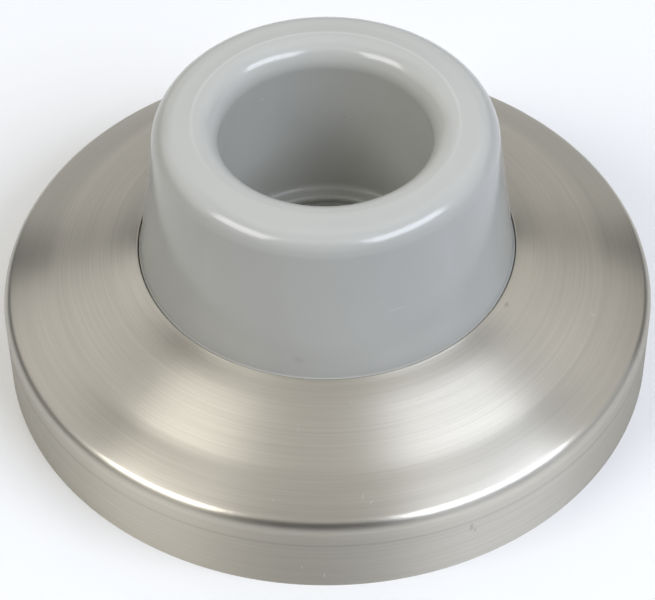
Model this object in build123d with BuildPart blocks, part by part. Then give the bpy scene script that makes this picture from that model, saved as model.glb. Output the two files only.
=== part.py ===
from build123d import *
from math import cos, radians, tan
import os

# Concave wall door stop: a pressed rose, a moulded rubber bumper seated in its well, and a
# dished washer in the floor of the bumper's cavity. The axis is Z and the wall is at z = 0.

# Rose, pressed from one sheet
rose_diameter = 63.5
sheet = 0.8
skirt_height = 8.25
shoulder_bend = 0.6
band_width = 4.25
band_angle = 23.9
crease_radius = 15.0
cone_angle = 19.9
hole_diameter = 36.6
lip_radius = 0.45
well_bend = 1.2
well_standoff = 0.3

# Rubber bumper
projection = 28.9
draft_angle = 7.6
crown_outer_radius = 2.35
crown_inner_radius = 2.4
mouth_diameter = 19.6
cavity_floor_diameter = 23.8
web_thickness = 7.9
cavity_corner_radius = 0.6
witness_diameter = 24.9
witness_width = 0.35
witness_height = 0.06

# Washer, dished for a countersunk screw
washer_diameter = 20.4
washer_thickness = 1.2
washer_sink = 0.4
washer_edge_radius = 0.3
seat_diameter = 10.4
seat_angle = 82.0
seat_land = 0.6
recess_edge_radius = 0.35

# The screw's way through the washer, the rubber web and the floor of the well
screw_hole_diameter = 5.5

# Clearances
bumper_clearance = 0.25
washer_clearance = 0.15

# Rose: places that follow from its sizes
rose_r = rose_diameter / 2
hole_r = hole_diameter / 2
screw_r = screw_hole_diameter / 2
crease_r = rose_r - band_width
crease_z = skirt_height + band_width * tan(radians(band_angle))
lip_z = crease_z + (crease_r - hole_r) * tan(radians(cone_angle))
well_floor_z = well_standoff + sheet

# Bumper: its foot fills the well, and its taper starts level with the edge of the hole
foot_r = hole_r - bumper_clearance
crown_r = foot_r - (projection - lip_z) * tan(radians(draft_angle))
mouth_r = mouth_diameter / 2
cavity_r = cavity_floor_diameter / 2
cavity_z = well_floor_z + web_thickness
witness_r = witness_diameter / 2

# Washer: it lies in a recess of the cavity's floor, a little below the ledge round it
washer_r = washer_diameter / 2
washer_top = cavity_z - washer_sink
washer_bottom = washer_top - washer_thickness
recess_r = washer_r + washer_clearance
seat_r = seat_diameter / 2
seat_slope = tan(radians(seat_angle / 2))
seat_bottom = washer_top - (seat_r - screw_r) / seat_slope
dish_bottom = seat_bottom - seat_land
dish_wall = washer_thickness / cos(radians(seat_angle / 2))
dish_top_r = seat_r - washer_thickness * seat_slope + dish_wall
dish_foot_r = screw_r - seat_land * seat_slope + dish_wall


def corner(section, r, z):
    """The corner of a section that lies nearest to radius r at height z."""
    return section.vertices().sort_by_distance((r, z))[0]


def ring(part, r, z):
    """The circular edge of a turned part that passes nearest to radius r at height z."""
    return part.edges().filter_by(GeomType.CIRCLE).sort_by_distance((r, 0, z))[0]


# Rose: the space behind the show face is drawn past the rim and the axis and hollowed to the
# thickness of the sheet, which leaves the section of the sheet, and then its bends are rounded.
with BuildPart() as cover_rose:
    with BuildSketch(Plane.XZ) as rose_section:
        with BuildLine():
            Polyline(
                (-2 * sheet, -2 * sheet),
                (rose_r, -2 * sheet),
                (rose_r, skirt_height),
                (crease_r, crease_z),
                (hole_r, lip_z),
                (hole_r, well_floor_z),
                (-2 * sheet, well_floor_z),
                close=True,
            )
        make_face()
        offset(amount=-sheet, kind=Kind.INTERSECTION, mode=Mode.SUBTRACT)
        with Locations((screw_r, 0)):
            Rectangle(rose_r, projection, align=(Align.MIN, Align.MIN), mode=Mode.INTERSECT)
        fillet(corner(rose_section, rose_r, skirt_height), shoulder_bend + sheet)
        fillet(corner(rose_section, rose_r - sheet, skirt_height - sheet), shoulder_bend)
        fillet(corner(rose_section, crease_r, crease_z), crease_radius)
        fillet(corner(rose_section, hole_r, lip_z), lip_radius)
        fillet(corner(rose_section, hole_r, well_floor_z), well_bend)
        fillet(corner(rose_section, hole_r + sheet, well_standoff), well_bend + sheet)
    revolve(axis=Axis.Z)
cover_rose.part.label = "cover_rose"

# Bumper: foot and tapered wall, a cavity that is wider at its floor than at its mouth, the
# recess for the washer with a relief for its dish, and the rounded edges
with BuildPart() as rubber_bumper:
    with BuildSketch(Plane.XZ):
        with BuildLine():
            Polyline(
                (0, well_floor_z),
                (foot_r, well_floor_z),
                (foot_r, lip_z),
                (crown_r, projection),
                (0, projection),
                close=True,
            )
        make_face()
    revolve(axis=Axis.Z)
    with BuildSketch(Plane.XZ):
        with BuildLine():
            Polyline(
                (0, cavity_z),
                (cavity_r, cavity_z),
                (mouth_r, projection),
                (0, projection),
                close=True,
            )
        make_face()
    revolve(axis=Axis.Z, mode=Mode.SUBTRACT)
    with BuildSketch(Plane.XZ):
        with BuildLine():
            Polyline(
                (0, dish_bottom - washer_clearance),
                (dish_foot_r + washer_clearance, dish_bottom - washer_clearance),
                (dish_top_r + washer_clearance, washer_bottom),
                (recess_r, washer_bottom),
                (recess_r, cavity_z),
                (0, cavity_z),
                close=True,
            )
        make_face()
    revolve(axis=Axis.Z, mode=Mode.SUBTRACT)
    with Locations((0, 0, well_floor_z)):
        Hole(screw_r)
    chamfer(ring(rubber_bumper, foot_r, well_floor_z), well_bend)
    fillet(ring(rubber_bumper, crown_r, projection), crown_outer_radius)
    fillet(ring(rubber_bumper, mouth_r, projection), crown_inner_radius)
    fillet(ring(rubber_bumper, cavity_r, cavity_z), cavity_corner_radius)
    fillet(ring(rubber_bumper, recess_r, cavity_z), recess_edge_radius)
    # Witness line of the mould on the crown
    with BuildSketch(Plane.XZ):
        with Locations((witness_r, projection)):
            Rectangle(witness_width, witness_height * 2)
    revolve(axis=Axis.Z)
rubber_bumper.part.label = "rubber_bumper"

# Washer: a pressed disc of even thickness whose middle is dished down to the screw hole
with BuildPart() as retaining_washer:
    with BuildSketch(Plane.XZ):
        with BuildLine():
            Polyline(
                (screw_r, dish_bottom),
                (dish_foot_r, dish_bottom),
                (dish_top_r, washer_bottom),
                (washer_r, washer_bottom),
                (washer_r, washer_top),
                (seat_r, washer_top),
                (screw_r, seat_bottom),
                close=True,
            )
        make_face()
    revolve(axis=Axis.Z)
    fillet(ring(retaining_washer, washer_r, washer_top), washer_edge_radius)
    fillet(ring(retaining_washer, seat_r, washer_top), washer_edge_radius)
retaining_washer.part.label = "retaining_washer"

os.makedirs("parts", exist_ok=True)
export_step(cover_rose.part, "parts/cover_rose.step")
export_step(rubber_bumper.part, "parts/rubber_bumper.step")
export_step(retaining_washer.part, "parts/retaining_washer.step")
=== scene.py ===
"""Concave wall door stop: a pressed satin nickel rose, a moulded grey rubber bumper seated in its
well, and a dished washer in the floor of the bumper's cavity. Z is the stop's axis, and the wall
is at z = 0."""

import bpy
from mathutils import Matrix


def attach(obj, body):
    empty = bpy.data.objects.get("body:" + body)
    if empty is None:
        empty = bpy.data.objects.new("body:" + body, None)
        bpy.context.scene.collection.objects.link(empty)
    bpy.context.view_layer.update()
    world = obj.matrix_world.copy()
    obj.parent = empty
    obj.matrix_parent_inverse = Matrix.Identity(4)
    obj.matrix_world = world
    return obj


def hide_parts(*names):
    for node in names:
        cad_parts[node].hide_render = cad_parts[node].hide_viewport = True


bl_info = {
    "name": "Concave Wall Door Stop",
    "version": (1, 0, 0),
    "blender": (4, 5, 0),
    "location": "3D View > Sidebar > Door Stop",
    "description": "Models a concave wall door stop: pressed rose, rubber bumper and washer",
    "category": "Add Mesh",
}

from math import atan2, ceil, cos, degrees, hypot, pi, radians, sin, tan

import bmesh
import bpy
from mathutils import Matrix, Vector

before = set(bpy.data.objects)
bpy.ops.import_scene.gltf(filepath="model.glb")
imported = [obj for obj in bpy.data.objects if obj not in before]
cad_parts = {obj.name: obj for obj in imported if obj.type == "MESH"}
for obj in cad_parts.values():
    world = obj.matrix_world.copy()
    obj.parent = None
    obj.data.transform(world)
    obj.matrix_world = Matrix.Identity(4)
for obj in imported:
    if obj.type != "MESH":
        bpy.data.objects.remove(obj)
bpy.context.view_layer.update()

MM = 0.001

# A turned piece has this many corners round the axis: 0.8 mm each at the rim of the rose.
CORNERS_ROUND = 256
# The corners of one ring lie this near to each other.
SAME_RING = 0.002 * MM
# Faces that meet at more than this angle keep a sharp edge.
SHARP_OVER = 35

# The band and the cone of the rose are drawn in steps, as parts of their width.
BAND_STEPS = (0.3, 0.5, 0.7, 0.85)
CONE_STEPS = (0.12, 0.28, 0.44, 0.6, 0.76, 0.9)

# Brushed plate throws light from the flats between its lines and from the flanks of the lines.
# Each has the depth of its lines in mm, its roughness, and how far it stretches highlights.
FLATS = (0.004, 0.3, 0.75)
FLANKS = (0.012, 0.4, 0.85)
# On the skirt, under these heights in mm, the flanks are rougher and all the lines deeper.
SKIRT_HEIGHTS = (7.2, 8.4)
SKIRT_FLANK_ROUGHNESS = 0.6
SKIRT_DEEPER = 2.0
# Places down the profile in mm, each with the share of the flanks: the brush hardly marks the
# ring beside the bumper and the band.
FLANK_SHARES = (
    (6.0, 0.0),
    (9.8, 0.9),
    (15.4, 0.9),
    (17.8, 0.08),
    (22.8, 0.08),
    (25.0, 0.95),
)
# Painted shade: places down the profile in mm, each with how pale the plate is painted,
# between these two factors.
PAINTED_PALEST, PAINTED_DARKEST = 1.12, 0.82
PAINTED_SHADE_BY_PROFILE = (
    (6.0, 0.35),
    (9.8, 0.85),
    (15.4, 0.92),
    (17.8, 0.4),
    (23.0, 0.4),
    (26.0, 0.0),
)
# Painted shade of the press line round the skirt, down the profile in mm.
PRESS_LINE_SHADE = ((25.8, 0.0), (26.0, 0.8), (26.2, 0.0))
# Painted highlight on the witness line of the crown, by distance from the axis in mm.
WITNESS_HIGHLIGHT_RING = ((12.2, 0.0), (12.45, 1.0), (12.7, 0.0))


# Sizes and colours


def linear(code):
    """A colour written as sRGB hex, such as "#C8C4BA", as the linear values Blender works in."""
    parts = [int(code[i : i + 2], 16) / 255 for i in (1, 3, 5)]
    return [p / 12.92 if p <= 0.04045 else ((p + 0.055) / 1.055) ** 2.4 for p in parts]


def length(name, millimetres, description):
    """A size of the part as a setting, given in millimetres."""
    return bpy.props.FloatProperty(
        name=name,
        description=description,
        default=millimetres * MM,
        min=0.0,
        precision=5,
        subtype="DISTANCE",
        unit="LENGTH",
    )


def angle(name, turn, description):
    """An angle of the part as a setting, given in degrees."""
    return bpy.props.FloatProperty(
        name=name,
        description=description,
        default=radians(turn),
        min=0.0,
        max=radians(90),
        subtype="ANGLE",
        unit="ROTATION",
    )


def colour(name, code, description):
    """A colour of the part as a setting, given as sRGB hex."""
    return bpy.props.FloatVectorProperty(
        name=name,
        description=description,
        default=linear(code),
        min=0.0,
        max=1.0,
        size=3,
        subtype="COLOR",
    )


class RoseSizes(bpy.types.PropertyGroup):
    diameter: length("Diameter", 63.5, "Across the skirt")
    sheet: length("Sheet", 0.8, "Thickness of the pressed sheet")
    skirt_height: length("Skirt Height", 8.25, "From the wall to the corner of the shoulder")
    shoulder_bend: length("Shoulder Bend", 0.6, "Inside radius of the bend at the shoulder")
    band_width: length("Band Width", 4.25, "From the skirt in to the crease")
    band_angle: angle("Band Angle", 23.9, "Slope of the band outside the crease")
    band_crown: length("Band Crown", 0.06, "How far the band bulges over its straight line")
    crease_radius: length("Crease Radius", 4.5, "Radius of the faint crease")
    cone_angle: angle("Cone Angle", 19.9, "Slope of the cone inside the crease")
    cone_crown: length("Cone Crown", 0.12, "How far the cone bulges over its straight line")
    hole_diameter: length("Hole", 36.6, "Across the hole that the bumper stands in")
    lip_width: length("Lip Width", 0.24, "Width of the bead at the edge of the hole")
    lip_rise: length("Lip Rise", 0.05, "How far the bead stands over the line of the cone")
    lip_radius: length("Lip Radius", 0.12, "Rounding of the bead's crest")
    well_bend: length("Well Bend", 1.2, "Inside radius at the foot of the well")
    well_standoff: length("Well Standoff", 0.3, "From the wall to the underside of the well")
    nickel: colour("Satin Nickel", "#D6D1C5", "Plated show face of the rose")


class BumperSizes(bpy.types.PropertyGroup):
    projection: length("Projection", 28.9, "From the wall to the crown")
    draft_angle: angle("Draft", 7.6, "Taper of the outer wall")
    crown_outer_radius: length("Outer Rounding", 2.35, "Outer edge of the crown")
    crown_inner_radius: length("Inner Rounding", 2.4, "Inner edge of the crown")
    mouth_diameter: length("Mouth", 19.6, "Across the cavity at the crown")
    floor_diameter: length("Cavity Floor", 23.8, "Across the cavity at its floor")
    web: length("Web", 7.9, "Rubber between the well and the cavity's floor")
    floor_rounding: length("Floor Rounding", 0.6, "Between the cavity's wall and its floor")
    witness_diameter: length("Witness Line", 24.9, "Ring that the mould leaves on the crown")
    witness_width: length("Witness Width", 0.35, "Width of the witness line")
    witness_height: length("Witness Height", 0.03, "How far the witness line stands up")
    clearance: length("Clearance", 0.25, "Between the rubber and the edge of the hole")
    snug: length("Snug Gap", 0.08, "Between the rubber and the well, under the edge of the hole")
    rubber: colour("Grey Rubber", "#C3C3BD", "Moulded grey rubber")


class WasherSizes(bpy.types.PropertyGroup):
    diameter: length("Diameter", 20.4, "Across the washer")
    thickness: length("Thickness", 1.2, "Thickness of the washer")
    sink: length("Sink", 0.4, "From the ledge of the cavity down to the washer")
    edge: length("Edge Rounding", 0.3, "Rounding of the rim and of the seat's edge")
    seat_diameter: length("Seat", 10.4, "Across the countersunk seat")
    seat_angle: angle("Seat Angle", 82.0, "Whole angle of the countersunk seat")
    seat_land: length("Seat Land", 0.6, "Straight part of the hole under the seat")
    screw_hole: length("Screw Hole", 5.5, "Across the hole for the screw")
    clearance: length("Clearance", 0.15, "Between the washer and its recess")
    recess_rounding: length("Recess Rounding", 0.35, "Edge of the ledge round the washer")
    zinc: colour("Zinc Plate", "#D6D5D0", "Zinc plated steel")


class StudioSettings(bpy.types.PropertyGroup):
    sheet: colour("Sheet", "#FDFDFC", "White board that the stop lies on, as it is seen")
    bounce: colour("Bounce", "#696968", "What the board throws back on the stop")
    room: colour("Room", "#101010", "The dim room round the lamps")


# Turning a piece out of rings


def start_ring(name, radius, height):
    """A new piece: one ring of edges round the axis, open in edit mode and selected."""
    bpy.ops.object.select_all(action="DESELECT")
    bpy.ops.mesh.primitive_circle_add(
        vertices=CORNERS_ROUND, radius=radius, fill_type="NOTHING", location=(0, 0, height)
    )
    bpy.ops.object.transform_apply(location=True, rotation=True, scale=True)
    piece = bpy.context.object
    piece.name = piece.data.name = name
    bpy.ops.object.mode_set(mode="EDIT")
    bpy.ops.mesh.select_mode(type="EDGE")
    bpy.ops.mesh.select_all(action="SELECT")
    return piece


def pull_ring(piece, radius, height):
    """Extrudes the selected ring to a new radius and height."""
    here = next(v.co for v in bmesh.from_edit_mesh(piece.data).verts if v.select)
    was, rise = here.xy.length, height - here.z
    bpy.ops.mesh.extrude_edges_move(TRANSFORM_OT_translate={"value": (0, 0, rise)})
    bpy.ops.transform.resize(
        value=(radius / was, radius / was, 1), center_override=(0, 0, height)
    )


def ring_of_edges(mesh, radius, height):
    """The ring of edges that lies nearest to a radius and height."""
    near = min(mesh.verts, key=lambda v: hypot(v.co.xy.length - radius, v.co.z - height)).co
    return [
        e
        for e in mesh.edges
        if all(
            hypot(v.co.xy.length - near.xy.length, v.co.z - near.z) < SAME_RING for v in e.verts
        )
    ]


def select_ring(piece, radius, height):
    """Selects the ring nearest to a place, and gives the angle between the faces beside it."""
    bpy.ops.mesh.select_all(action="DESELECT")
    mesh = bmesh.from_edit_mesh(piece.data)
    ring = ring_of_edges(mesh, radius, height)
    for edge in ring:
        edge.select_set(True)
    turn = ring[0].calc_face_angle()
    bmesh.update_edit_mesh(piece.data)
    return turn


def round_ring(piece, radius, height, rounding):
    """Bevels the sharp ring nearest to a place to a rounding of the given radius."""
    turn = select_ring(piece, radius, height)
    bpy.ops.mesh.bevel(
        offset=rounding * tan(turn / 2),
        segments=max(4, ceil(degrees(turn) / 7)),
        profile=0.5,
        affect="EDGES",
    )


def close_ends(piece):
    """Joins the two open rings of a piece, so that it is one closed body."""
    bpy.ops.mesh.select_all(action="DESELECT")
    bpy.ops.mesh.select_non_manifold()
    bpy.ops.mesh.bridge_edge_loops()


def face_outwards():
    """Turns all faces of the piece in edit mode outwards."""
    bpy.ops.mesh.select_all(action="SELECT")
    bpy.ops.mesh.normals_make_consistent(inside=False)


def select_faces(piece, wanted):
    """Selects the faces for which wanted(centre, normal) is true."""
    bpy.ops.mesh.select_mode(type="FACE")
    bpy.ops.mesh.select_all(action="DESELECT")
    mesh = bmesh.from_edit_mesh(piece.data)
    for face in mesh.faces:
        if wanted(face.calc_center_median(), face.normal):
            face.select_set(True)
    bmesh.update_edit_mesh(piece.data)


def finish_turning(piece):
    """Smooth shading that keeps the flats flat beside their roundings."""
    bpy.ops.object.mode_set(mode="OBJECT")
    bpy.ops.object.shade_smooth_by_angle(angle=radians(SHARP_OVER))
    weighted = piece.modifiers.new("Flats Stay Flat", "WEIGHTED_NORMAL")
    weighted.keep_sharp = True
    bpy.ops.object.modifier_apply(modifier=weighted.name)


def hand_over(piece, node):
    """The piece rides with the frame and stands for its CAD node."""
    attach(piece, "root")
    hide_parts(node)


# Finishes


def add(tree, kind, sockets=None, **settings):
    """Adds a node: settings are its own, and sockets are links or values for its inputs."""
    made = tree.nodes.new(kind)
    for name, value in settings.items():
        setattr(made, name, value)
    for key, value in (sockets or {}).items():
        if isinstance(value, bpy.types.NodeSocket):
            tree.links.new(value, made.inputs[key])
        else:
            made.inputs[key].default_value = value
    return made


def new_finish(name):
    """An empty material and its shader."""
    finish = bpy.data.materials.new(name)
    finish.use_nodes = True
    tree = finish.node_tree
    tree.nodes.clear()
    shader = add(tree, "ShaderNodeBsdfPrincipled")
    add(tree, "ShaderNodeOutputMaterial", {"Surface": shader.outputs["BSDF"]})
    return finish, tree, shader


def tone(rgb, factor):
    """A colour made paler or darker by a factor, as a socket takes it."""
    return [min(1.0, c * factor) for c in rgb] + [1.0]


def from_axis(tree):
    """The way out from the axis to a point, and how long it is."""
    place = add(tree, "ShaderNodeTexCoord").outputs["Object"]
    flat = add(
        tree, "ShaderNodeVectorMath", {0: place, 1: (1, 1, 0)}, operation="MULTIPLY"
    ).outputs[0]
    radius = add(tree, "ShaderNodeVectorMath", {0: flat}, operation="LENGTH").outputs["Value"]
    return flat, radius


def down_the_profile(tree):
    """Distance from the axis less height over the wall. It grows along the show face, from
    4.8 mm at the hole of the rose over 17.4 at the crease and 23.5 at the shoulder."""
    radius = from_axis(tree)[1]
    place = add(tree, "ShaderNodeTexCoord").outputs["Object"]
    height = add(tree, "ShaderNodeSeparateXYZ", {0: place}).outputs["Z"]
    return add(tree, "ShaderNodeMath", {0: radius, 1: height}, operation="SUBTRACT").outputs[0]


def levels(tree, distance, stops, reach=40):
    """Steps softly through levels. A stop is a distance in mm, under the reach, and its level."""
    part = add(
        tree, "ShaderNodeMath", {0: distance, 1: 1 / (reach * MM)}, operation="MULTIPLY"
    ).outputs[0]
    made = add(tree, "ShaderNodeValToRGB", {"Fac": part})
    made.color_ramp.interpolation = "EASE"
    elements = made.color_ramp.elements
    while len(elements) < len(stops):
        elements.new(0.5)
    for element, (where, level) in zip(elements, stops):
        element.position = where / reach
        element.color = [level] * 3 + [1.0]
    return made.outputs["Color"]


def turned_place(tree, lines_per_mm, arcs):
    """Where a point lies for a lathe: Z runs along the profile, and X and Y go round the axis."""
    flat = from_axis(tree)[0]
    around = add(tree, "ShaderNodeVectorMath", {0: flat}, operation="NORMALIZE").outputs[0]
    lines = add(
        tree,
        "ShaderNodeMath",
        {0: down_the_profile(tree), 1: lines_per_mm / MM},
        operation="MULTIPLY",
    ).outputs[0]
    arc = add(
        tree, "ShaderNodeVectorMath", {0: around, "Scale": arcs}, operation="SCALE"
    ).outputs[0]
    line = add(tree, "ShaderNodeCombineXYZ", {"Z": lines}).outputs[0]
    return add(tree, "ShaderNodeVectorMath", {0: arc, 1: line}, operation="ADD").outputs[0]


def marks(tree, spots):
    """How much of a mark lies at a point. A spot is its place in mm, its turn about the axis in
    degrees and its half sizes in mm."""
    place = add(tree, "ShaderNodeTexCoord").outputs["Object"]
    most = None
    for centre, turn, half in spots:
        local = add(
            tree,
            "ShaderNodeMapping",
            {
                "Vector": place,
                "Location": [c * MM for c in centre],
                "Rotation": (0, 0, radians(turn)),
                "Scale": [h * MM for h in half],
            },
            vector_type="TEXTURE",
        ).outputs[0]
        away = add(tree, "ShaderNodeVectorMath", {0: local}, operation="LENGTH").outputs["Value"]
        here = add(
            tree,
            "ShaderNodeMapRange",
            {"Value": away, "From Min": 0.2, "From Max": 1.0, "To Min": 1.0, "To Max": 0.0},
            interpolation_type="SMOOTHSTEP",
        ).outputs[0]
        if most is None:
            most = here
        else:
            most = add(tree, "ShaderNodeMath", {0: most, 1: here}, operation="MAXIMUM").outputs[0]
    return most


def stained(tree, under, amount, strength, stain):
    """A colour with a stain on it. Amount says how much of the stain lies at a point, and
    strength how much of that shows."""
    shows = add(tree, "ShaderNodeMath", {0: amount, 1: strength}, operation="MULTIPLY").outputs[0]
    return add(
        tree, "ShaderNodeMix", {0: shows, 6: under, 7: stain}, data_type="RGBA"
    ).outputs[2]


def satin_nickel(rgb):
    """Satin nickel plate, brushed in rings on a lathe: reflections stretch across the rings into
    bars that run up the skirt and the cone, and fine lines run round the axis."""
    finish, tree, shader = new_finish("satin_nickel_brushed_in_rings")

    # 180 grit leaves lines 0.05 mm apart, which the render can't show: drawn 0.3 mm apart.
    fine = add(
        tree,
        "ShaderNodeTexNoise",
        {"Vector": turned_place(tree, 3.3, 1.2), "Scale": 1.0, "Detail": 4.0, "Roughness": 0.65},
    ).outputs["Fac"]
    # The relief of the same lines, drawn 0.11 mm apart.
    grit = add(
        tree,
        "ShaderNodeTexNoise",
        {"Vector": turned_place(tree, 9.0, 0.9), "Scale": 1.0, "Detail": 2.0},
    ).outputs["Fac"]
    down = down_the_profile(tree)
    plate = add(tree, "ShaderNodeValToRGB", {"Fac": fine})
    plate.color_ramp.elements[0].position = 0.3
    plate.color_ramp.elements[0].color = tone(rgb, 0.93)
    plate.color_ramp.elements[1].position = 0.7
    plate.color_ramp.elements[1].color = tone(rgb, 1.05)
    # Painted shade: the plate is painted darker in a ring beside the bumper, over the band and down
    # the skirt, and paler on the middle of the cone.
    painted_shade = add(
        tree,
        "ShaderNodeMapRange",
        {
            "Value": levels(tree, down, PAINTED_SHADE_BY_PROFILE),
            "To Min": PAINTED_DARKEST,
            "To Max": PAINTED_PALEST,
        },
    ).outputs[0]
    # The brushed colour carries the painted shade down the profile.
    brushed = add(
        tree,
        "ShaderNodeVectorMath",
        {0: plate.outputs["Color"], "Scale": painted_shade},
        operation="SCALE",
    ).outputs[0]

    dust = marks(
        tree,
        [
            ((2.0, -20.53, 12.62), 6, (0.16, 0.22, 0.2)),
            ((18.64, -16.45, 11.09), 49, (0.12, 0.16, 0.2)),
            ((20.07, -16.28, 10.74), 51, (0.12, 0.2, 0.2)),
            ((3.17, -22.73, 11.79), 8, (0.1, 0.14, 0.2)),
            ((25.25, -7.77, 10.53), 73, (0.1, 0.5, 0.3)),
            ((-2.78, -22.9, 11.73), -7, (0.09, 0.5, 0.3)),
            ((3.0, -28.95, 9.42), -25, (0.09, 0.42, 0.3)),
            ((3.75, -29.45, 9.15), -50, (0.09, 0.42, 0.3)),
            ((-5.1, -29.1, 9.24), -10, (0.1, 0.2, 0.2)),
            ((-28.46, -14.08, 3.85), 0, (0.2, 0.1, 0.7)),
            ((-0.55, -31.74, 1.5), 0, (0.1, 0.2, 0.5)),
            ((-2.6, -31.64, 2.6), 0, (0.08, 0.2, 0.3)),
        ],
    )
    soil_and_crease_shade = marks(
        tree,
        [
            ((16.92, -8.9, 13.17), 62, (0.5, 0.3, 0.3)),
            ((8.36, -19.85, 12.3), 23, (0.15, 0.17, 0.2)),
            ((12.94, -28.99, 4.9), 24, (0.3, 0.2, 0.8)),
            ((13.3, -28.83, 4.3), 24, (0.2, 0.2, 0.4)),
        ],
    )
    # A fine press line runs round the skirt, 2.5 mm under the shoulder: the shade in its groove is
    # painted as a dark line, together with the soil marks.
    press_line_shade = levels(tree, down, PRESS_LINE_SHADE)
    soil_and_crease_shade = add(tree, "ShaderNodeMath", {0: soil_and_crease_shade, 1: press_line_shade}, operation="MAXIMUM").outputs[0]
    soiled_and_crease_shaded = stained(tree, brushed, soil_and_crease_shade, 0.35, tone(rgb, 0.35))
    dusted = stained(tree, soiled_and_crease_shaded, dust, 0.4, linear("#F2F1EC") + [1.0])
    tree.links.new(dusted, shader.inputs["Base Color"])
    # Dust isn't metal.
    metal = add(
        tree, "ShaderNodeMapRange", {"Value": dust, "To Min": 1.0, "To Max": 0.6}
    ).outputs[0]
    tree.links.new(metal, shader.inputs["Metallic"])

    # Between its lines the plate is nearly flat. The flanks of the lines throw the light up and
    # down the profile but hardly round the axis.
    rings = add(tree, "ShaderNodeTangent", direction_type="RADIAL", axis="Z").outputs[0]
    place = add(tree, "ShaderNodeTexCoord").outputs["Object"]
    height = add(tree, "ShaderNodeSeparateXYZ", {0: place}).outputs["Z"]

    def over_the_shoulder(skirt, cone):
        """A value that changes at the shoulder, from the skirt's to the cone's."""
        return add(
            tree,
            "ShaderNodeMapRange",
            {
                "Value": height,
                "From Min": SKIRT_HEIGHTS[0] * MM,
                "From Max": SKIRT_HEIGHTS[1] * MM,
                "To Min": skirt,
                "To Max": cone,
            },
        ).outputs[0]

    flanks = add(tree, "ShaderNodeBsdfPrincipled")
    for name in ("Base Color", "Metallic"):
        tree.links.new(shader.inputs[name].links[0].from_socket, flanks.inputs[name])
    for side, (depth, roughness, stretch) in ((shader, FLATS), (flanks, FLANKS)):
        side.inputs["Roughness"].default_value = roughness
        side.inputs["Anisotropic"].default_value = stretch
        # A quarter turn stretches highlights across the rings.
        side.inputs["Anisotropic Rotation"].default_value = 0.25
        tree.links.new(rings, side.inputs["Tangent"])
        deep = over_the_shoulder(depth * SKIRT_DEEPER * MM, depth * MM)
        lines = add(
            tree, "ShaderNodeBump", {"Strength": 1.0, "Distance": deep, "Height": grit}
        ).outputs[0]
        tree.links.new(lines, side.inputs["Normal"])
    tree.links.new(
        over_the_shoulder(SKIRT_FLANK_ROUGHNESS, FLANKS[1]), flanks.inputs["Roughness"]
    )
    both = add(
        tree,
        "ShaderNodeMixShader",
        {0: levels(tree, down, FLANK_SHARES), 1: shader.outputs[0], 2: flanks.outputs[0]},
    ).outputs[0]
    tree.links.new(both, tree.nodes["Material Output"].inputs["Surface"])
    return finish


def plain_nickel(rgb):
    """Nickel straight from the plating bath, inside the rose where no brush went: dull and a
    little cloudy."""
    finish, tree, shader = new_finish("nickel_plate_unbrushed")
    place = add(tree, "ShaderNodeTexCoord").outputs["Object"]
    # Clouds in the plate a few millimetres across.
    cloud = add(
        tree, "ShaderNodeTexNoise", {"Vector": place, "Scale": 1 / (4 * MM), "Detail": 4.0}
    ).outputs["Fac"]
    plate = add(tree, "ShaderNodeValToRGB", {"Fac": cloud})
    plate.color_ramp.elements[0].position = 0.3
    plate.color_ramp.elements[0].color = tone(rgb, 0.78)
    plate.color_ramp.elements[1].position = 0.7
    plate.color_ramp.elements[1].color = tone(rgb, 0.92)
    tree.links.new(plate.outputs["Color"], shader.inputs["Base Color"])
    shader.inputs["Metallic"].default_value = 1.0
    gloss = add(
        tree, "ShaderNodeMapRange", {"Value": cloud, "To Min": 0.42, "To Max": 0.58}
    ).outputs[0]
    tree.links.new(gloss, shader.inputs["Roughness"])
    return finish


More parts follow.
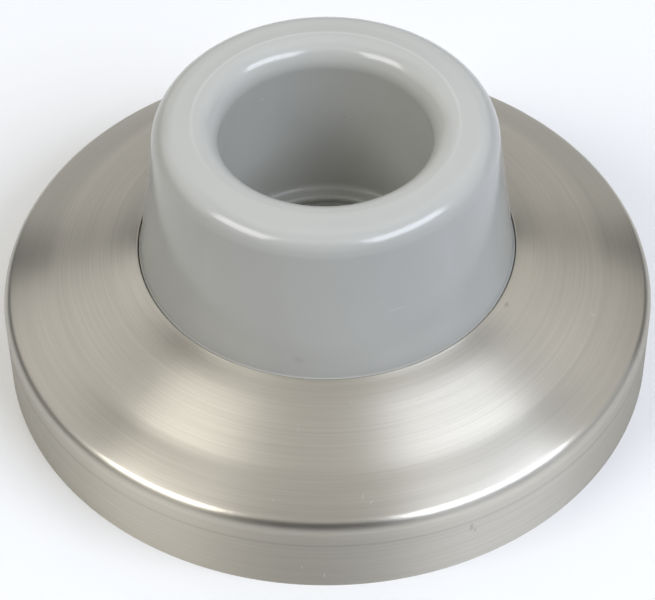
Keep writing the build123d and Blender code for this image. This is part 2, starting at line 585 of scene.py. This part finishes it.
def moulded_rubber(rgb):
    """Grey rubber moulded in a polished die: smooth, with soft highlights on its roundings, the
    faintest orange peel, the specks and smudges of an unused stop, and painted highlights on
    the witness line and on the edge of the cavity's ledge."""
    finish, tree, shader = new_finish("grey_rubber_moulded")
    place = add(tree, "ShaderNodeTexCoord").outputs["Object"]
    # Shade of the compound, drifting over about 12 mm.
    drift = add(
        tree, "ShaderNodeTexNoise", {"Vector": place, "Scale": 1 / (12 * MM), "Detail": 3.0}
    ).outputs["Fac"]
    # Orange peel of the die, about 0.6 mm across.
    peel = add(
        tree, "ShaderNodeTexNoise", {"Vector": place, "Scale": 1 / (0.6 * MM), "Detail": 2.0}
    ).outputs["Fac"]
    shade = add(tree, "ShaderNodeValToRGB", {"Fac": drift})
    shade.color_ramp.elements[0].position = 0.3
    shade.color_ramp.elements[0].color = tone(rgb, 0.97)
    shade.color_ramp.elements[1].position = 0.7
    shade.color_ramp.elements[1].color = tone(rgb, 1.02)
    dark = marks(
        tree,
        [
            ((1.87, 10.62, 19.6), 0, (0.16, 0.3, 0.2)),
            ((5.16, 9.28, 21.15), 0, (0.14, 0.3, 0.16)),
            ((5.94, -13.16, 28.9), 0, (0.1, 0.1, 0.1)),
            ((-10.97, -11.12, 28.9), 0, (0.12, 0.12, 0.4)),
        ],
    )
    smudge = marks(tree, [((-2.7, -17.6, 15.32), 0, (0.8, 0.5, 0.6))])
    # Pale scuffs, and a painted highlight on the edge of the cavity's ledge.
    scuffs_and_ledge_highlight = marks(
        tree,
        [
            ((-6.02, 8.37, 24.07), 0, (0.14, 0.3, 0.14)),
            ((5.06, -16.23, 21.33), 0, (0.12, 0.2, 0.12)),
            ((6.25, -15.95, 20.2), 24, (1.5, 0.3, 0.06)),
            # Painted highlight on the rounded edge of the cavity's ledge.
            ((-5.49, 10.55, 9.2), 27, (0.14, 0.4, 0.5)),
        ],
    )
    grime = linear("#4A4A46") + [1.0]
    # Pale colour of the scuffs and of the painted highlights.
    scuff_and_highlight_white = linear("#F4F4F0") + [1.0]
    # Painted highlight: the ring of the witness line is painted paler, plain at the back of the
    # crown and fading to the front.
    witness = levels(tree, from_axis(tree)[1], WITNESS_HIGHLIGHT_RING, reach=20)
    split = add(tree, "ShaderNodeSeparateXYZ", {0: place}).outputs
    for value, low, high in ((split["Z"], 28.6, 28.8), (split["Y"], -9.0, 3.0)):
        part = add(
            tree,
            "ShaderNodeMapRange",
            {"Value": value, "From Min": low * MM, "From Max": high * MM},
        ).outputs[0]
        witness = add(
            tree, "ShaderNodeMath", {0: witness, 1: part}, operation="MULTIPLY"
        ).outputs[0]
    shown = shade.outputs["Color"]
    for amount, strength, stain in (
        (dark, 0.22, grime),
        (smudge, 0.09, grime),
        (scuffs_and_ledge_highlight, 0.3, scuff_and_highlight_white),
        (witness, 0.16, scuff_and_highlight_white),
    ):
        shown = stained(tree, shown, amount, strength, stain)
    tree.links.new(shown, shader.inputs["Base Color"])
    gloss = add(
        tree, "ShaderNodeMapRange", {"Value": drift, "To Min": 0.13, "To Max": 0.2}
    ).outputs[0]
    tree.links.new(gloss, shader.inputs["Roughness"])
    shader.inputs["IOR"].default_value = 1.52
    skin = add(
        tree, "ShaderNodeBump", {"Strength": 0.15, "Distance": 0.01 * MM, "Height": peel}
    ).outputs[0]
    tree.links.new(skin, shader.inputs["Normal"])
    return finish


def zinc_plate(rgb):
    """Bright zinc plate on pressed steel: a dull grey metal with a fine spangle."""
    finish, tree, shader = new_finish("zinc_plated_steel")
    place = add(tree, "ShaderNodeTexCoord").outputs["Object"]
    # Spangle of the plate, about 0.8 mm across.
    spangle = add(
        tree, "ShaderNodeTexVoronoi", {"Vector": place, "Scale": 1 / (0.8 * MM)}
    ).outputs["Color"]
    plate = add(
        tree,
        "ShaderNodeMix",
        {0: spangle, 6: tone(rgb, 0.86), 7: tone(rgb, 1.04)},
        data_type="RGBA",
    ).outputs[2]
    tree.links.new(plate, shader.inputs["Base Color"])
    shader.inputs["Metallic"].default_value = 1.0
    gloss = add(
        tree, "ShaderNodeMapRange", {"Value": spangle, "To Min": 0.45, "To Max": 0.6}
    ).outputs[0]
    tree.links.new(gloss, shader.inputs["Roughness"])
    return finish


def studio_sheet(seen, bounced):
    """White laminated board, smooth with a soft sheen. It is seen white, by the camera and in the
    metal, but throws far less light back, so that the stop's sides keep their shade."""
    finish, tree, shader = new_finish("studio_sheet_satin")
    place = add(tree, "ShaderNodeTexCoord").outputs["Object"]
    # Tooth of the board, about 2 mm across so that it stays below notice.
    tooth = add(
        tree, "ShaderNodeTexNoise", {"Vector": place, "Scale": 1 / (2 * MM), "Detail": 2.0}
    ).outputs["Fac"]
    ray = add(tree, "ShaderNodeLightPath").outputs
    looks = add(
        tree, "ShaderNodeMath", {0: ray["Is Camera Ray"], 1: ray["Is Glossy Ray"]}, operation="ADD"
    ).outputs[0]
    looks = add(
        tree,
        "ShaderNodeMath",
        {0: looks, 1: ray["Is Transmission Ray"]},
        operation="ADD",
        use_clamp=True,
    ).outputs[0]
    white = add(
        tree,
        "ShaderNodeMix",
        {0: tooth, 6: tone(seen, 0.995), 7: tone(seen, 1.0)},
        data_type="RGBA",
    ).outputs[2]
    both = add(
        tree, "ShaderNodeMix", {0: looks, 6: tone(bounced, 1.0), 7: white}, data_type="RGBA"
    ).outputs[2]
    tree.links.new(both, shader.inputs["Base Color"])
    shader.inputs["Roughness"].default_value = 0.15
    return finish


# Pieces


def rose_heights(size):
    """Heights of the crease and of the hole's edge, by the slopes of the band and the cone."""
    crease_z = size.skirt_height + size.band_width * tan(size.band_angle)
    cone_width = (size.diameter - size.hole_diameter) / 2 - size.band_width
    return crease_z, crease_z + cone_width * tan(size.cone_angle)


class DOORSTOP_OT_rose(bpy.types.Operator):
    """Press the rose: skirt, shoulder, band, cone, the edge of its hole and the well"""

    bl_idname = "doorstop.rose"
    bl_label = "Pressed Rose"

    def execute(self, context):
        size = context.scene.doorstop_rose
        rim = size.diameter / 2
        hole = size.hole_diameter / 2
        screw = context.scene.doorstop_washer.screw_hole / 2
        crease = rim - size.band_width
        crease_z, lip_z = rose_heights(size)
        floor_z = size.well_standoff + size.sheet

        rose = start_ring("rose", rim, 0)
        pull_ring(rose, rim, size.skirt_height)
        # The band and the cone swell a little over their straight lines, with the crease between.
        for start, start_z, end, end_z, crown, steps in (
            (rim, size.skirt_height, crease, crease_z, size.band_crown, BAND_STEPS),
            (crease, crease_z, hole, lip_z, size.cone_crown, CONE_STEPS),
        ):
            lean = atan2(end_z - start_z, start - end)
            for part in steps:
                swell = 4 * part * (1 - part) * crown
                pull_ring(
                    rose,
                    start + part * (end - start) + swell * sin(lean),
                    start_z + part * (end_z - start_z) + swell * cos(lean),
                )
            pull_ring(rose, end, end_z)
        pull_ring(rose, hole, floor_z)
        pull_ring(rose, screw, floor_z)
        face_outwards()
        bpy.ops.object.mode_set(mode="OBJECT")
        wall = rose.modifiers.new("Sheet", "SOLIDIFY")
        wall.thickness = size.sheet
        wall.offset = -1
        wall.use_even_offset = True
        bpy.ops.object.modifier_apply(modifier=wall.name)

        bpy.ops.object.mode_set(mode="EDIT")
        bpy.ops.mesh.select_mode(type="EDGE")
        round_ring(rose, rim, size.skirt_height, size.shoulder_bend + size.sheet)
        round_ring(
            rose, rim - size.sheet, size.skirt_height - size.sheet, size.shoulder_bend
        )
        round_ring(rose, crease, crease_z, size.crease_radius)
        # The edge of the hole stands up in a narrow bead.
        select_ring(rose, hole, lip_z)
        bpy.ops.mesh.bevel(offset=size.lip_width, segments=1, affect="EDGES")
        select_ring(rose, hole, lip_z - size.lip_width)
        bpy.ops.transform.translate(value=(0, 0, size.lip_width + size.lip_rise))
        round_ring(rose, hole, lip_z + size.lip_rise, size.lip_radius)
        round_ring(rose, hole, floor_z, size.well_bend)
        round_ring(rose, hole + size.sheet, size.well_standoff, size.well_bend + size.sheet)
        face_outwards()

        rose.data.materials.append(satin_nickel(size.nickel))
        rose.data.materials.append(plain_nickel(size.nickel))

        def behind(centre, normal):
            """The face turned to the wall, and the well, which the brush doesn't reach."""
            radius = centre.xy.length
            inside = normal.z < -0.3 or normal.xy.dot(centre.xy) < -1e-6
            return inside and radius > hole + size.sheet / 2 or radius < hole - 0.05 * MM

        select_faces(rose, behind)
        rose.active_material_index = 1
        bpy.ops.object.material_slot_assign()
        finish_turning(rose)
        hand_over(rose, "cover_rose")
        return {"FINISHED"}


class DOORSTOP_OT_bumper(bpy.types.Operator):
    """Mould the rubber bumper: foot, tapered wall, rounded crown, cavity and washer's recess"""

    bl_idname = "doorstop.bumper"
    bl_label = "Rubber Bumper"

    def execute(self, context):
        size = context.scene.doorstop_bumper
        rose = context.scene.doorstop_rose
        washer = context.scene.doorstop_washer
        foot = rose.hole_diameter / 2 - size.clearance
        snug = rose.hole_diameter / 2 - size.snug
        foot_z = rose.well_standoff + rose.sheet
        rim_z = rose_heights(rose)[1]
        crown = foot - (size.projection - rim_z) * tan(size.draft_angle)
        mouth = size.mouth_diameter / 2
        floor = size.floor_diameter / 2
        floor_z = foot_z + size.web
        witness = size.witness_diameter / 2
        witness_in = witness - size.witness_width / 2
        witness_out = witness + size.witness_width / 2
        recess = washer.diameter / 2 + washer.clearance
        place = washer_places(washer, floor_z)
        screw = washer.screw_hole / 2

        bumper = start_ring("bumper", snug - rose.well_bend, foot_z)
        for radius, height in (
            (snug, foot_z + rose.well_bend),
            (snug, rim_z - 2 * rose.lip_radius),
            (foot, rim_z),
            (crown, size.projection),
            (witness_out, size.projection),
            (witness, size.projection + size.witness_height),
            (witness_in, size.projection),
            (mouth, size.projection),
            (floor, floor_z),
            (recess, floor_z),
            (recess, place["bottom"]),
            (place["dish_top"] + washer.clearance, place["bottom"]),
            (place["dish_foot"] + washer.clearance, place["dish_bottom"] - washer.clearance),
            (screw, place["dish_bottom"] - washer.clearance),
            (screw, foot_z),
        ):
            pull_ring(bumper, radius, height)
        close_ends(bumper)
        face_outwards()

        bpy.ops.mesh.select_mode(type="EDGE")
        round_ring(bumper, crown, size.projection, size.crown_outer_radius)
        round_ring(bumper, mouth, size.projection, size.crown_inner_radius)
        round_ring(bumper, floor, floor_z, size.floor_rounding)
        round_ring(bumper, recess, floor_z, washer.recess_rounding)
        face_outwards()
        bumper.data.materials.append(moulded_rubber(size.rubber))
        finish_turning(bumper)
        hand_over(bumper, "rubber_bumper")
        return {"FINISHED"}


def washer_places(size, ledge_z):
    """Heights and radii of the washer under the ledge of the cavity."""
    top = ledge_z - size.sink
    bottom = top - size.thickness
    half = size.seat_angle / 2
    screw, seat = size.screw_hole / 2, size.seat_diameter / 2
    seat_bottom = top - (seat - screw) / tan(half)
    wall = size.thickness / cos(half)
    return {
        "top": top,
        "bottom": bottom,
        "seat_bottom": seat_bottom,
        "dish_bottom": seat_bottom - size.seat_land,
        "dish_top": seat - size.thickness * tan(half) + wall,
        "dish_foot": screw - size.seat_land * tan(half) + wall,
    }


class DOORSTOP_OT_washer(bpy.types.Operator):
    """Press the washer: a disc dished in the middle for a countersunk screw"""

    bl_idname = "doorstop.washer"
    bl_label = "Dished Washer"

    def execute(self, context):
        size = context.scene.doorstop_washer
        rose = context.scene.doorstop_rose
        ledge_z = rose.well_standoff + rose.sheet + context.scene.doorstop_bumper.web
        place = washer_places(size, ledge_z)
        rim, seat, screw = size.diameter / 2, size.seat_diameter / 2, size.screw_hole / 2

        washer = start_ring("washer", screw, place["dish_bottom"])
        for radius, height in (
            (place["dish_foot"], place["dish_bottom"]),
            (place["dish_top"], place["bottom"]),
            (rim, place["bottom"]),
            (rim, place["top"]),
            (seat, place["top"]),
            (screw, place["seat_bottom"]),
        ):
            pull_ring(washer, radius, height)
        close_ends(washer)
        face_outwards()
        bpy.ops.mesh.select_mode(type="EDGE")
        round_ring(washer, rim, place["top"], size.edge)
        round_ring(washer, seat, place["top"], size.edge)
        face_outwards()
        washer.data.materials.append(zinc_plate(size.zinc))
        finish_turning(washer)
        hand_over(washer, "retaining_washer")
        return {"FINISHED"}


# Stage

# The camera's place in mm, its tilt from straight down and its roll in degrees, and its lens in mm.
CAMERA_PLACE = (0, -172.64, 185.65)
CAMERA_TILT = 43.665
CAMERA_ROLL = -0.621
CAMERA_LENS = 138.31

# The board that the stop lies on bends up behind it. In metres.
BOARD_SIZE = 5.0
BACKDROP_HEIGHT = 2.5
BACKDROP_BEND = 0.8

# Softboxes: name, way round from the front and height in degrees, width and height in degrees as
# the stop sees them, brightness (1 is white), and tint. All stand this far off, in metres.
LAMP_DISTANCE = 1.2
LAMPS = (
    ("softbox_left", -58.5, 42, 31, 19, 6.4, "#FFFEFB"),
    ("softbox_right", 54.5, 42, 43, 19, 8.3, "#E8EFFF"),
    ("high_left", -80, 63, 56, 22, 0.15, "#FFFDF6"),
    ("high_right", 80, 63, 66, 22, 0.35, "#F0F5FF"),
    ("front_high", 0, 58, 48, 24, 0.74, "#FFFFFF"),
    ("side_left", -107, 36, 56, 32, 0.75, "#FFFFFF"),
    ("side_right", 110, 36, 54, 32, 0.6, "#FFFFFF"),
    ("low_right", 88, 12, 44, 16, 0.6, "#E6EEFF"),
    ("back", 180, 18, 70, 26, 0.5, "#FFFFFF"),
    ("back_high", 180, 50, 60, 26, 0.6, "#FFFFFF"),
    ("ceiling", 180, 84, 44, 36, 0.7, "#FFFFFF"),
)


def select_back_edge(board):
    """Selects the edge of the board's floor that lies furthest behind the stop."""
    bpy.ops.mesh.select_all(action="DESELECT")
    mesh = bmesh.from_edit_mesh(board.data)
    for edge in mesh.edges:
        edge.select_set(all(v.co.y > 0.48 * BOARD_SIZE and v.co.z < 0.1 for v in edge.verts))
    bmesh.update_edit_mesh(board.data)


class DOORSTOP_OT_stage(bpy.types.Operator):
    """Set the camera, the white board under the stop and the softboxes"""

    bl_idname = "doorstop.stage"
    bl_label = "Camera, Floor and Lamps"

    def execute(self, context):
        scene = context.scene
        settings = scene.doorstop_studio

        bpy.ops.object.camera_add(location=[c * MM for c in CAMERA_PLACE])
        camera = context.object
        camera.name = "camera"
        tilt = Matrix.Rotation(radians(CAMERA_TILT), 3, "X")
        roll = Matrix.Rotation(radians(CAMERA_ROLL), 3, "Z")
        camera.rotation_euler = (tilt @ roll).to_euler()
        camera.data.sensor_fit = "HORIZONTAL"
        camera.data.sensor_width = 36
        camera.data.lens = CAMERA_LENS
        camera.data.clip_start = 0.01
        scene.camera = camera

        bpy.ops.object.select_all(action="DESELECT")
        bpy.ops.mesh.primitive_plane_add(size=BOARD_SIZE, location=(0, 0, 0))
        floor = context.object
        floor.name = floor.data.name = "board"
        bpy.ops.object.mode_set(mode="EDIT")
        bpy.ops.mesh.select_mode(type="EDGE")
        select_back_edge(floor)
        bpy.ops.mesh.extrude_edges_move(
            TRANSFORM_OT_translate={"value": (0, 0, BACKDROP_HEIGHT)}
        )
        select_back_edge(floor)
        bpy.ops.mesh.bevel(offset=BACKDROP_BEND, segments=16, profile=0.5, affect="EDGES")
        bpy.ops.object.mode_set(mode="OBJECT")
        bpy.ops.object.shade_smooth()
        floor.data.materials.append(studio_sheet(settings.sheet, settings.bounce))

        for name, way, height, wide, high, brightness, tint in LAMPS:
            a, e = radians(way), radians(height)
            toward = Vector((sin(a) * cos(e), -cos(a) * cos(e), sin(e)))
            bpy.ops.object.light_add(type="AREA", location=toward * LAMP_DISTANCE)
            lamp = context.object
            lamp.name = lamp.data.name = name
            lamp.rotation_euler = toward.to_track_quat("Z", "Y").to_euler()
            lamp.data.shape = "RECTANGLE"
            lamp.data.size = 2 * LAMP_DISTANCE * tan(radians(wide / 2))
            lamp.data.size_y = 2 * LAMP_DISTANCE * tan(radians(high / 2))
            lamp.data.energy = brightness * pi * lamp.data.size * lamp.data.size_y
            lamp.data.color = linear(tint)

        world = bpy.data.worlds.new("room")
        scene.world = world
        world.use_nodes = True
        world.node_tree.nodes["Background"].inputs["Color"].default_value = tone(settings.room, 1)
        scene.view_settings.view_transform = "Standard"
        return {"FINISHED"}


# Add-on


class DOORSTOP_PT_panel(bpy.types.Panel):
    """Buttons and sizes of the door stop"""

    bl_idname = "DOORSTOP_PT_panel"
    bl_label = "Wall Door Stop"
    bl_space_type = "VIEW_3D"
    bl_region_type = "UI"
    bl_category = "Door Stop"

    def draw(self, context):
        for operator, group in (
            ("doorstop.rose", "doorstop_rose"),
            ("doorstop.bumper", "doorstop_bumper"),
            ("doorstop.washer", "doorstop_washer"),
            ("doorstop.stage", "doorstop_studio"),
        ):
            box = self.layout.box()
            box.operator(operator)
            settings = getattr(context.scene, group)
            for name in settings.__annotations__:
                box.prop(settings, name)


CLASSES = (
    RoseSizes,
    BumperSizes,
    WasherSizes,
    StudioSettings,
    DOORSTOP_OT_stage,
    DOORSTOP_OT_rose,
    DOORSTOP_OT_bumper,
    DOORSTOP_OT_washer,
    DOORSTOP_PT_panel,
)
GROUPS = {
    "doorstop_rose": RoseSizes,
    "doorstop_bumper": BumperSizes,
    "doorstop_washer": WasherSizes,
    "doorstop_studio": StudioSettings,
}


def register():
    for cls in CLASSES:
        bpy.utils.register_class(cls)
    for name, group in GROUPS.items():
        setattr(bpy.types.Scene, name, bpy.props.PointerProperty(type=group))


def unregister():
    for name in GROUPS:
        delattr(bpy.types.Scene, name)
    for cls in reversed(CLASSES):
        bpy.utils.unregister_class(cls)


def main():
    register()
    bpy.ops.doorstop.stage()
    bpy.ops.doorstop.rose()
    bpy.ops.doorstop.bumper()
    bpy.ops.doorstop.washer()


if __name__ == "__main__":
    main()
